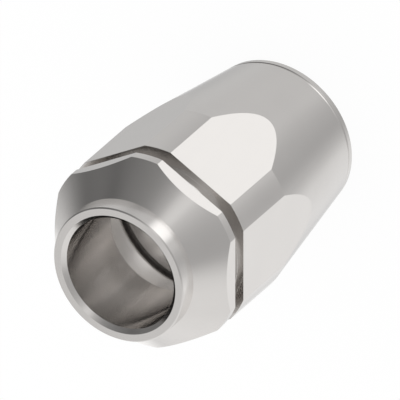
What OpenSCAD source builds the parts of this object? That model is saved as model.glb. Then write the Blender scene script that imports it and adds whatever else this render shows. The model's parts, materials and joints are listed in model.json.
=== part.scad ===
// Reusable hose socket: one piece of steel, turned on its axis and milled to a hexagon.
// The hose goes in at the wide end, which is the foot of the part at z = 0.
// The nipple goes in through the small collar, which is the top.

/* [Hexagon] */
// Width across the wrench flats
hex_af = 32; // [31:0.5:33]
// Diameter that the bar is turned to, which rounds the six corners
turned_d = 34.5; // [34:0.1:35.5]

/* [Length] */
// Overall length, from the hose end to the collar's face
body_len = 52; // [50:0.5:60]

/* [Collar] */
// Outer diameter of the collar at the nipple end
collar_d = 24.1; // [23.6:0.1:26]
// Length of the collar, up to the foot of the flare
collar_len = 3.4; // [2:0.1:4]
// Length of the flare between the collar and the hexagon
flare_len = 5.1; // [4.5:0.1:5.6]
// Edge break round the collar's outer edge
collar_break = 0.2; // [0.1:0.05:0.4]

/* [Groove] */
// Distance of the groove from the collar's face
groove_start = 10.1; // [9.8:0.1:11]
// Width of the groove
groove_w = 2.6; // [2:0.1:3]
// Diameter of the groove's round floor
groove_floor_d = 29.8; // [28.6:0.1:30.6]

/* [Taper] */
// Length of the full hexagon, from the collar's face to the start of the taper
taper_start = 25.9; // [24:0.1:28]
// Outer diameter at the hose end
hose_end_d = 27; // [26.6:0.1:28]

/* [Bores] */
// Diameter of the nipple bore
nipple_bore_d = 19.9; // [18:0.1:20.4]
// Depth of the nipple bore from the collar's face
nipple_bore_len = 14.9; // [14:0.1:16]
// Chamfer at the mouth of the nipple bore
nipple_chamfer = 0.7; // [0.3:0.05:1]
// Diameter of the relief behind the nipple bore
relief_d = 28; // [26.4:0.1:28.2]
// Length of the relief's straight wall
relief_len = 8; // [7:0.1:9]
// Radius of the rounding that ends the relief
relief_round_r = 3.2; // [2:0.1:4]
// Angle that the rounding turns through
relief_turn = 30; // [20:1:35]

/* [Hose bore] */
// Diameter of the hose bore where its gentle cone gives way to a steeper one
cone_bend_d = 24.7; // [24:0.1:25.2]
// Height of that place above the hose end
cone_bend_height = 16.8; // [15:0.1:18]
// Diameter of the straight part that grips the hose
hose_bore_d = 21; // [20.4:0.1:21.4]
// Length of the straight part
grip_len = 2.4; // [2:0.1:4]
// Diameter of the mouth at the hose end
mouth_d = 21.6; // [21.5:0.1:22.6]
// Length of the mouth, up to the straight part
mouth_len = 6.4; // [4:0.1:8]
// Edge break round the mouth
mouth_break = 0.4; // [0.2:0.05:0.6]

/* [Hidden] */
$fn = 96;

flare_z = body_len - collar_len;
hexagon_top_z = flare_z - flare_len;
taper_z = body_len - taper_start;
nipple_bore_end_z = body_len - nipple_bore_len;
relief_end_z = nipple_bore_end_z - relief_len;
groove_top_z = body_len - groove_start;

// Rounding that leads from the relief's straight wall into the hose bore, in six steps
relief_round = [
    for (i = [0:6])
        let (turn = relief_turn * i / 6)
        [relief_d / 2 - relief_round_r * (1 - cos(turn)), relief_end_z - relief_round_r * sin(turn)]
];

// Half section of the turned blank with its bores, as radius and height
blank_section = [
    [mouth_d / 2 + mouth_break, 0],
    [hose_end_d / 2, 0],
    [turned_d / 2, taper_z],
    [turned_d / 2, groove_top_z - groove_w],
    [groove_floor_d / 2, groove_top_z - groove_w],
    [groove_floor_d / 2, groove_top_z],
    [turned_d / 2, groove_top_z],
    [turned_d / 2, hexagon_top_z],
    [collar_d / 2, flare_z],
    [collar_d / 2, body_len - collar_break],
    [collar_d / 2 - collar_break, body_len],
    [nipple_bore_d / 2 + nipple_chamfer, body_len],
    [nipple_bore_d / 2, body_len - nipple_chamfer],
    [nipple_bore_d / 2, nipple_bore_end_z],
    [relief_d / 2, nipple_bore_end_z],
    each relief_round,
    [cone_bend_d / 2, cone_bend_height],
    [hose_bore_d / 2, mouth_len + grip_len],
    [hose_bore_d / 2, mouth_len],
    [mouth_d / 2, mouth_break],
];

// Hexagonal prism with a pair of flats square to X
module hex_prism() {
    rotate([0, 0, 30])
        cylinder(d = hex_af / cos(30), h = body_len, $fn = 6);
}

// The turned blank: collar, flare, groove, tapered tail and the bores right through
module turned_blank() {
    rotate_extrude()
        polygon(blank_section);
}

// Socket body, complete in one piece
module socket() {
    color("silver")
        intersection() {
            turned_blank();
            hex_prism();
        }
}

socket();
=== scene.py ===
import json
import math

import bmesh
import bpy
from bpy.props import FloatProperty, FloatVectorProperty, IntProperty, PointerProperty
from mathutils import Matrix, Vector


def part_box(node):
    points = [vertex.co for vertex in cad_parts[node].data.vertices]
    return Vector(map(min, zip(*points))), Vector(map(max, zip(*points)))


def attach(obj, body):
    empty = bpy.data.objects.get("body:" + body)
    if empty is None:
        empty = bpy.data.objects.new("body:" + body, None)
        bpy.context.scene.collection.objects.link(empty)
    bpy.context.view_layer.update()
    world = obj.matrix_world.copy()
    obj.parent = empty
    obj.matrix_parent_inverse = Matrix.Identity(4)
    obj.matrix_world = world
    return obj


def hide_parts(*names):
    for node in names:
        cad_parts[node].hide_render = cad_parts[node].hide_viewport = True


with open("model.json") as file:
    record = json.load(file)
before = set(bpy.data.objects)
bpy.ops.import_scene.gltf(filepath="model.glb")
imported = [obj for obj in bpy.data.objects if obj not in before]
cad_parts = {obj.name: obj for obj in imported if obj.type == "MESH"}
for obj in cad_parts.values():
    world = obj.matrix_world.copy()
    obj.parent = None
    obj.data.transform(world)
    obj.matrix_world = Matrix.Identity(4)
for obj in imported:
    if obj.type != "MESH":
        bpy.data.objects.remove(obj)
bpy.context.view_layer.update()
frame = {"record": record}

bl_info = {
    "name": "Hose Socket",
    "version": (1, 0, 0),
    "blender": (4, 5, 0),
    "location": "View3D > Sidebar > Hose Socket",
    "description": "Machined steel socket for a reusable hose fitting, with its studio",
    "category": "Object",
}

MM = 0.001
AXIS = Vector((0, 0, 1))
WHITE = (1, 1, 1, 1)

# Shape of the socket
FLATS = 6
ROUND_STEPS = 6
CUT_TOLERANCE = 0.00001 * MM
# An edge that bends less than the fine bend is smooth, and one past the square bend is broken
FINE_BEND = math.radians(2.2)
SQUARE_BEND = math.radians(50)
# How far a bend may be from a step of the relief's rounding and still be smooth
ROUND_STEP_SLACK = math.radians(0.5)

# Pattern of the steel
# Ring lines run over height less this share of the radius, so walls, cones and end faces all have them
RING_LEAN = 1.7
# How fast the lines on the flats change along the axis, as a share of how fast they change across
LENGTHWISE_SHARE = 0.02
LINE_DETAIL = 2.0
CLOUD_SCALE = 140.0
CLOUD_DETAIL = 3.0
NOISE_MIDDLE = 0.5
# Darkest and lightest tone, as shares of the steel's colour
DARK_TONE = 0.96
LIGHT_TONE = 1.03

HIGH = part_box("socket")[1]
MOUNTS = {mount["name"]: mount for mount in frame["record"]["mounts"]}


def mount_radius(name):
    """Wall radius of a bore mount, in metres."""
    return MOUNTS[name]["dims"]["r_mm"] * MM


def mount_span(name):
    """Lowest and highest point of a bore mount's wall, in metres."""
    middle = MOUNTS[name]["pos_m"][2]
    half = MOUNTS[name]["dims"]["length_mm"] * MM / 2
    return middle - half, middle + half


def length(name, description, default):
    """A length property, in metres."""
    return FloatProperty(
        name=name, description=description, default=default, unit="LENGTH", precision=5
    )


def share(name, description, default):
    """A property from 0 to 1."""
    return FloatProperty(
        name=name, description=description, default=default, min=0, max=1, subtype="FACTOR"
    )


def angle(name, description, degrees):
    """An angle property, stated in degrees."""
    return FloatProperty(
        name=name, description=description, default=math.radians(degrees), subtype="ANGLE"
    )


class SocketSizes(bpy.types.PropertyGroup):
    """Sizes of the socket that the frame's mounts and box don't give."""

    turned_radius: length("Turned radius", "Radius of the turned bar, which rounds the corners", 17.25 * MM)
    collar_radius: length("Collar radius", "Outer radius of the collar", 12.05 * MM)
    collar_length: length("Collar length", "Length of the collar up to the flare", 3.4 * MM)
    collar_break: length("Collar edge break", "Edge break round the collar's face", 0.2 * MM)
    flare_length: length("Flare length", "Length of the flare between collar and hexagon", 5.1 * MM)
    groove_start: length("Groove start", "Distance of the groove from the collar's face", 10.1 * MM)
    groove_width: length("Groove width", "Width of the groove", 2.6 * MM)
    groove_radius: length("Groove radius", "Radius of the turned groove's floor", 14.9 * MM)
    taper_start: length("Taper start", "Distance of the taper from the collar's face", 25.9 * MM)
    tail_radius: length("Tail radius", "Outer radius at the hose end", 13.5 * MM)
    relief_radius: length("Relief radius", "Radius of the relief behind the nipple bore", 14.0 * MM)
    relief_length: length("Relief length", "Length of the relief's straight wall", 8.0 * MM)
    relief_round: length("Relief rounding", "Radius of the rounding that ends the relief", 3.2 * MM)
    relief_turn: angle("Relief rounding angle", "Angle that the rounding turns through", 30)
    cone_bend_radius: length("Cone bend radius", "Radius where the hose bore turns steeper", 12.35 * MM)
    cone_bend_height: length("Cone bend height", "Height of that place above the hose end", 16.8 * MM)
    mouth_radius: length("Mouth radius", "Radius of the mouth at the hose end", 10.8 * MM)
    mouth_break: length("Mouth edge break", "Edge break round the mouth", 0.4 * MM)
    rim_line_height: length("Rim line height", "Height of the fine line above the hose end", 1.02 * MM)
    rim_line_floor: length("Rim line floor", "Width of the fine line's floor", 0.45 * MM)
    rim_line_depth: length("Rim line depth", "Depth of the fine turned line", 0.13 * MM)
    edge_break: length("Edge break", "Width of the fine break on each square edge", 0.06 * MM)
    turn_steps: IntProperty(name="Turn steps", description="Faces round one turn", default=192, min=48)


class SteelFinish(bpy.types.PropertyGroup):
    """Colour and polish of the steel."""

    colour: FloatVectorProperty(
        name="Steel colour",
        description="Reflected colour of the bare steel",
        subtype="COLOR",
        size=3,
        min=0,
        max=1,
        default=(0.607, 0.588, 0.571),
    )
    roughness: share("Roughness", "Mean roughness of the turned and milled faces", 0.15)
    roughness_spread: share("Roughness spread", "How far the roughness wanders over the surface", 0.04)
    bore_roughness: share("Bore roughness", "Extra roughness of the bores", 0.02)
    relief_roughness: share("Relief roughness", "Further roughness behind the nipple bore", 0.03)
    line_pitch: length("Line pitch", "Typical width of the tool lines", 0.18 * MM)
    line_depth: length("Line depth", "Depth of the tool lines", 0.0002 * MM)


class StudioSetup(bpy.types.PropertyGroup):
    """Camera, floor and light of the studio."""

    view_azimuth: angle("View azimuth", "Direction of the camera round the socket's axis", 49.107)
    view_elevation: angle("View elevation", "Height of the camera above the floor's plane", 48.590)
    view_roll: angle("View roll", "Turn of the camera about its own line of sight", -130.893)
    view_width: length("View width", "Width that the orthographic camera covers", 64.45 * MM)
    view_distance: length("View distance", "Distance from the camera to the point it looks at", 300 * MM)
    aim: FloatVectorProperty(
        name="Aim",
        description="Point that the middle of the picture looks at",
        subtype="XYZ",
        size=3,
        precision=5,
        default=(8.404 * MM, 10.476 * MM, 40.164 * MM),
    )
    floor_size: length("Floor size", "Side of the square floor", 4.0)
    floor_shadow: share("Floor shadow", "How much of the socket's shadow the floor keeps", 0.06)
    room_level: FloatProperty(
        name="Room level",
        description="Level of the room in a reflection, before panels and flags",
        default=0.9,
    )


class Wire:
    """Output socket of a shader node, on which maths is written as plain expressions."""

    def __init__(self, graph, socket):
        self.graph = graph
        self.socket = socket

    def math(self, operation, first, second):
        return self.graph.node("Math", {"operation": operation}, {0: first, 1: second})

    def __add__(self, other):
        return self.math("ADD", self, other)

    def __radd__(self, other):
        return self.math("ADD", other, self)

    def __sub__(self, other):
        return self.math("SUBTRACT", self, other)

    def __rsub__(self, other):
        return self.math("SUBTRACT", other, self)

    def __mul__(self, other):
        return self.math("MULTIPLY", self, other)

    def __rmul__(self, other):
        return self.math("MULTIPLY", other, self)

    def __lt__(self, other):
        return self.math("LESS_THAN", self, other)


class Graph:
    """Node tree that is filled from scratch, one node at a time."""

    def __init__(self, tree):
        self.tree = tree
        tree.nodes.clear()

    def node(self, kind, settings=None, inputs=None, output=0):
        """Adds a node with its settings, then fills its inputs with values or links.

        Returns one of the node's outputs, or the node itself where it has none.
        """
        made = self.tree.nodes.new("ShaderNode" + kind)
        for name, value in (settings or {}).items():
            setattr(made, name, value)
        for key, value in (inputs or {}).items():
            if isinstance(value, Wire):
                self.tree.links.new(value.socket, made.inputs[key])
            else:
                made.inputs[key].default_value = value
        return Wire(self, made.outputs[output]) if made.outputs else made


def new_material(name):
    """Empty node material and the graph that fills it."""
    material = bpy.data.materials.new(name)
    material.use_nodes = True
    return material, Graph(material.node_tree)


def tool_lines(graph, finish, place, height):
    """Fine lines that the tools left: rings on what is turned, lengthwise lines on the flats."""
    flat_place = graph.node("VectorMath", {"operation": "MULTIPLY"}, {0: place, 1: (1, 1, 0)})
    radius = graph.node("VectorMath", {"operation": "LENGTH"}, {0: flat_place}, "Value")
    ring_place = height - RING_LEAN * radius
    rings = graph.node(
        "TexNoise",
        {"noise_dimensions": "1D"},
        {"W": ring_place * (1 / finish.line_pitch), "Scale": 1.0, "Detail": LINE_DETAIL},
    )
    rates = (1 / finish.line_pitch, 1 / finish.line_pitch, LENGTHWISE_SHARE / finish.line_pitch)
    drawn_out = graph.node("VectorMath", {"operation": "MULTIPLY"}, {0: place, 1: rates})
    lengthwise = graph.node("TexNoise", {}, {"Vector": drawn_out, "Scale": 1.0, "Detail": LINE_DETAIL})
    milled = graph.node("Attribute", {"attribute_name": "milled"}, {}, "Fac")
    return rings + milled * (lengthwise - rings)


def steel_material(finish):
    """Steel with fine tool lines and a slightly uneven polish, duller and without bump in the bores."""
    material, graph = new_material("turned_steel")
    place = graph.node("TexCoord", output="Object")
    height = graph.node("SeparateXYZ", {}, {0: place}, "Z")
    lines = tool_lines(graph, finish, place, height)
    cloud = graph.node("TexNoise", {}, {"Vector": place, "Scale": CLOUD_SCALE, "Detail": CLOUD_DETAIL})
    spread = finish.roughness_spread
    unevenness = spread * (cloud - NOISE_MIDDLE) + spread * (lines - NOISE_MIDDLE)
    bored = graph.node("Attribute", {"attribute_name": "bored"}, {}, "Fac")
    nipple_bore_end = mount_span("nipple_bore")[0]
    behind = height < nipple_bore_end
    dullness = finish.bore_roughness * bored + finish.relief_roughness * bored * behind
    colour = Vector(finish.colour)
    tone = graph.node(
        "Mix",
        {"data_type": "RGBA"},
        {"Factor": cloud, "A": (*(colour * DARK_TONE), 1), "B": (*(colour * LIGHT_TONE), 1)},
        "Result",
    )
    bump = graph.node(
        "Bump",
        {},
        {"Strength": 1.0, "Distance": finish.line_depth, "Height": lines * (1.0 - bored)},
    )
    shader = graph.node(
        "BsdfPrincipled",
        {},
        {
            "Base Color": tone,
            "Metallic": 1.0,
            "Roughness": finish.roughness + unevenness + dullness,
            "Normal": bump,
        },
    )
    graph.node("OutputMaterial", {}, {"Surface": shader})
    return material


def rim_line(sizes, slope):
    """Corners of the fine turned line near the hose end, from its lower edge up."""
    low = sizes.rim_line_height
    high = low + sizes.rim_line_depth + sizes.rim_line_floor
    floor_radius = sizes.tail_radius + slope * low - sizes.rim_line_depth
    return [
        (sizes.tail_radius + slope * low, low),
        (floor_radius, low + sizes.rim_line_depth),
        (floor_radius, high),
        (sizes.tail_radius + slope * high, high),
    ]


def relief_rounding(sizes, wall_end):
    """Corners of the rounding that leads from the relief's straight wall into the hose bore."""
    turns = [sizes.relief_turn * step / ROUND_STEPS for step in range(ROUND_STEPS + 1)]
    return [
        (
            sizes.relief_radius - sizes.relief_round * (1 - math.cos(turn)),
            wall_end - sizes.relief_round * math.sin(turn),
        )
        for turn in turns
    ]


def half_section(sizes):
    """Corners of the turned half section, as radius and height, in order round the metal."""
    top = HIGH.z
    nipple_low, nipple_high = mount_span("nipple_bore")
    hose_low, hose_high = mount_span("hose_bore")
    nipple_radius = mount_radius("nipple_bore")
    hose_radius = mount_radius("hose_bore")
    flare_top = top - sizes.collar_length
    groove_top = top - sizes.groove_start
    taper_top = top - sizes.taper_start
    taper_slope = (sizes.turned_radius - sizes.tail_radius) / taper_top
    return [
        (sizes.mouth_radius + sizes.mouth_break, 0),
        (sizes.tail_radius, 0),
        *rim_line(sizes, taper_slope),
        (sizes.turned_radius, taper_top),
        (sizes.turned_radius, groove_top - sizes.groove_width),
        (sizes.groove_radius, groove_top - sizes.groove_width),
        (sizes.groove_radius, groove_top),
        (sizes.turned_radius, groove_top),
        (sizes.turned_radius, flare_top - sizes.flare_length),
        (sizes.collar_radius, flare_top),
        (sizes.collar_radius, top - sizes.collar_break),
        (sizes.collar_radius - sizes.collar_break, top),
        (nipple_radius + top - nipple_high, top),
        (nipple_radius, nipple_high),
        (nipple_radius, nipple_low),
        (sizes.relief_radius, nipple_low),
        *relief_rounding(sizes, nipple_low - sizes.relief_length),
        (sizes.cone_bend_radius, sizes.cone_bend_height),
        (hose_radius, hose_high),
        (hose_radius, hose_low),
        (sizes.mouth_radius, sizes.mouth_break),
    ]


def turn_section(mesh, section, steps):
    """Spins the closed half section into the turned blank."""
    corners = [mesh.verts.new((radius, 0, height)) for radius, height in section]
    lines = [mesh.edges.new(pair) for pair in zip(corners, corners[1:] + corners[:1])]
    bmesh.ops.spin(
        mesh,
        geom=corners + lines,
        cent=(0, 0, 0),
        axis=AXIS,
        angle=math.tau,
        steps=steps,
        use_merge=True,
        use_duplicate=False,
    )


def mill_flats(mesh, distance, milled):
    """Cuts the wrench flats at a distance from the axis and marks their faces as milled."""
    for index in range(FLATS):
        outward = Matrix.Rotation(math.tau * index / FLATS, 3, "Z") @ Vector((1, 0, 0))
        cut = bmesh.ops.bisect_plane(
            mesh,
            geom=mesh.verts[:] + mesh.edges[:] + mesh.faces[:],
            dist=CUT_TOLERANCE,
            plane_co=outward * distance,
            plane_no=outward,
            clear_outer=True,
        )["geom_cut"]
        edges = [part for part in cut if isinstance(part, bmesh.types.BMEdge)]
        for face in bmesh.ops.edgeloop_fill(mesh, edges=edges)["faces"]:
            face[milled] = 1.0


def mark_bores(mesh, bored):
    """Marks the faces that look towards the axis."""
    for face in mesh.faces:
        middle = face.calc_center_median()
        outwards = middle.x * face.normal.x + middle.y * face.normal.y
        face[bored] = 1.0 if outwards < 0 else 0.0


def mark_edges(mesh, round_step, weight):
    """Smooths the steps of the turn and of the rounding, and gives the square edges a bevel weight."""
    for edge in mesh.edges:
        bend = edge.calc_face_angle(0)
        edge.smooth = bend < FINE_BEND or abs(bend - round_step) < ROUND_STEP_SLACK
        if bend > SQUARE_BEND:
            edge[weight] = 1.0


def socket_mesh(sizes):
    """The whole socket as one closed mesh, without its fine edge breaks."""
    mesh = bmesh.new()
    milled = mesh.faces.layers.float.new("milled")
    bored = mesh.faces.layers.float.new("bored")
    weight = mesh.edges.layers.float.new("bevel_weight_edge")
    turn_section(mesh, half_section(sizes), sizes.turn_steps)
    mill_flats(mesh, HIGH.x, milled)
    bmesh.ops.recalc_face_normals(mesh, faces=mesh.faces)
    mark_bores(mesh, bored)
    mark_edges(mesh, sizes.relief_turn / ROUND_STEPS, weight)
    for face in mesh.faces:
        face.smooth = face[milled] == 0
    return mesh


def add_object(name, data):
    """New object at the origin, in the scene's own collection."""
    made = bpy.data.objects.new(name, data)
    bpy.context.scene.collection.objects.link(made)
    return made


def add_piece(name, mesh, material):
    """New object that takes over a bmesh and has one material."""
    data = bpy.data.meshes.new(name)
    mesh.to_mesh(data)
    mesh.free()
    data.materials.append(material)
    return add_object(name, data)


def build_socket(sizes, finish):
    """The socket in steel, with a fine break on its square edges."""
    piece = add_piece("socket_body", socket_mesh(sizes), steel_material(finish))
    edge_break = piece.modifiers.new("edge_break", "BEVEL")
    edge_break.limit_method = "WEIGHT"
    edge_break.width = sizes.edge_break
    edge_break.segments = 2
    edge_break.harden_normals = True
    edge_break.use_clamp_overlap = False
    return piece


def floor_material(studio):
    """White floor that keeps a small share of the socket's shadow."""
    material, graph = new_material("studio_floor")
    paint = graph.node("BsdfDiffuse", {}, {"Color": WHITE})
    glow = graph.node("Emission", {}, {"Color": WHITE, "Strength": 1.0})
    blend = graph.node("MixShader", {}, {0: studio.floor_shadow, 1: glow, 2: paint})
    graph.node("OutputMaterial", {}, {"Surface": blend})
    return material


def build_floor(studio):
    """Level floor under the hose end, which the steel doesn't mirror."""
    mesh = bmesh.new()
    bmesh.ops.create_grid(mesh, x_segments=1, y_segments=1, size=studio.floor_size / 2)
    floor = add_piece("studio_floor", mesh, floor_material(studio))
    floor.visible_glossy = False


# Panels and flags of the studio: azimuth, elevation, inner and outer angle in degrees, change of level
PANELS = {
    "side_panel": (-58, -14, 36, 65, 0.44),
    "dark_flag": (142, 16, 16, 81, -0.73),
    "narrow_flag": (16, -10, 46, 66, -0.36),
    "low_fill": (38, -32, 6, 39, 0.31),
    "low_lamp": (57, -45, 2, 16, 1.02),
    "low_spill": (34, -50, 2, 12, 0.12),
    "side_spill": (-37, -50, 2, 12, 0.12),
    "high_fill": (-33, 45, 13, 21, 0.25),
    "flare_panel": (63, 41, 1, 10, 0.2),
    "top_fill": (133, 55, 18, 33, 0.16),
    "high_flag": (-63, 29, 16, 44, -0.26),
    "side_flag": (-99, -46, 36, 58, -0.24),
    "rear_flag": (112, -58, 22, 68, -0.09),
    "rear_panel": (141, -18, 1, 40, 0.51),
    "edge_panel": (-44, -16, 18, 33, 0.18),
    "bore_panel": (-131, -34, 6, 23, 0.6),
    "bore_lamp_left": (-160, -34, 2, 13, 1.8),
    "bore_lamp_right": (-102, -34, 2, 13, 1.8),
}


def direction(azimuth, elevation):
    """Unit vector for an azimuth and an elevation in degrees."""
    sideways = Matrix.Rotation(math.radians(azimuth), 3, "Z")
    upwards = Matrix.Rotation(math.radians(-elevation), 3, "Y")
    return sideways @ upwards @ Vector((1, 0, 0))


def panel_level(graph, look, panel):
    """What one panel adds to the level of the room, for the direction looked in."""
    azimuth, elevation, inner, outer, change = panel
    closeness = graph.node(
        "VectorMath",
        {"operation": "DOT_PRODUCT"},
        {0: look, 1: direction(azimuth, elevation)},
        "Value",
    )
    return graph.node(
        "MapRange",
        {"interpolation_type": "SMOOTHSTEP"},
        {
            "Value": closeness,
            "From Min": math.cos(math.radians(outer)),
            "From Max": math.cos(math.radians(inner)),
            "To Min": 0.0,
            "To Max": change,
        },
    )


def build_room(studio):
    """Even white room, with panels and flags that show only in what the steel mirrors."""
    world = bpy.data.worlds.new("studio_room")
    world.use_nodes = True
    bpy.context.scene.world = world
    graph = Graph(world.node_tree)
    look = graph.node("TexCoord", output="Generated")
    level = studio.room_level
    for panel in PANELS.values():
        level = level + panel_level(graph, look, panel)
    mirrored = graph.node("Background", {}, {"Color": WHITE, "Strength": level})
    plain = graph.node("Background", {}, {"Color": WHITE, "Strength": 1.0})
    is_glossy = graph.node("LightPath", output="Is Glossy Ray")
    room = graph.node("MixShader", {}, {0: is_glossy, 1: plain, 2: mirrored})
    graph.node("OutputWorld", {}, {"Surface": room})


def build_camera(studio):
    """Orthographic camera at the photographed angle."""
    data = bpy.data.cameras.new("camera")
    data.type = "ORTHO"
    data.ortho_scale = studio.view_width
    camera = add_object("camera", data)
    turn = (
        Matrix.Rotation(studio.view_azimuth + math.pi / 2, 3, "Z")
        @ Matrix.Rotation(math.pi / 2 - studio.view_elevation, 3, "X")
        @ Matrix.Rotation(studio.view_roll, 3, "Z")
    )
    place = Vector(studio.aim) + turn @ Vector((0, 0, studio.view_distance))
    camera.matrix_world = Matrix.LocRotScale(place, turn, None)
    bpy.context.scene.camera = camera


class HOSESOCKET_OT_build_body(bpy.types.Operator):
    """Model the turned and milled socket and give it its steel"""

    bl_idname = "hose_socket.build_body"
    bl_label = "Build Socket Body"

    def execute(self, context):
        piece = build_socket(context.scene.socket_sizes, context.scene.socket_finish)
        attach(piece, "root")
        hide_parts("socket")
        return {"FINISHED"}


class HOSESOCKET_OT_build_stage(bpy.types.Operator):
    """Lay the floor and set up the light and the camera"""

    bl_idname = "hose_socket.build_stage"
    bl_label = "Build Stage"

    def execute(self, context):
        studio = context.scene.socket_studio
        build_floor(studio)
        build_room(studio)
        build_camera(studio)
        context.scene.view_settings.view_transform = "Standard"
        return {"FINISHED"}


class HOSESOCKET_PT_panel(bpy.types.Panel):
    """Lists the sizes, the finish, the studio and the steps of the build"""

    bl_idname = "HOSESOCKET_PT_panel"
    bl_label = "Hose Socket"
    bl_space_type = "VIEW_3D"
    bl_region_type = "UI"
    bl_category = "Hose Socket"

    def draw(self, context):
        layout = self.layout
        scene = context.scene
        for group in (scene.socket_sizes, scene.socket_finish, scene.socket_studio):
            column = layout.column()
            for name in group.__annotations__:
                column.prop(group, name)
        layout.operator(HOSESOCKET_OT_build_body.bl_idname)
        layout.operator(HOSESOCKET_OT_build_stage.bl_idname)


CLASSES = (
    SocketSizes,
    SteelFinish,
    StudioSetup,
    HOSESOCKET_OT_build_body,
    HOSESOCKET_OT_build_stage,
    HOSESOCKET_PT_panel,
)


def register():
    for entry in CLASSES:
        bpy.utils.register_class(entry)
    bpy.types.Scene.socket_sizes = PointerProperty(type=SocketSizes)
    bpy.types.Scene.socket_finish = PointerProperty(type=SteelFinish)
    bpy.types.Scene.socket_studio = PointerProperty(type=StudioSetup)


def unregister():
    del bpy.types.Scene.socket_studio
    del bpy.types.Scene.socket_finish
    del bpy.types.Scene.socket_sizes
    for entry in reversed(CLASSES):
        bpy.utils.unregister_class(entry)


def main():
    register()
    bpy.ops.hose_socket.build_body()
    bpy.ops.hose_socket.build_stage()


if __name__ == "__main__":
    main()
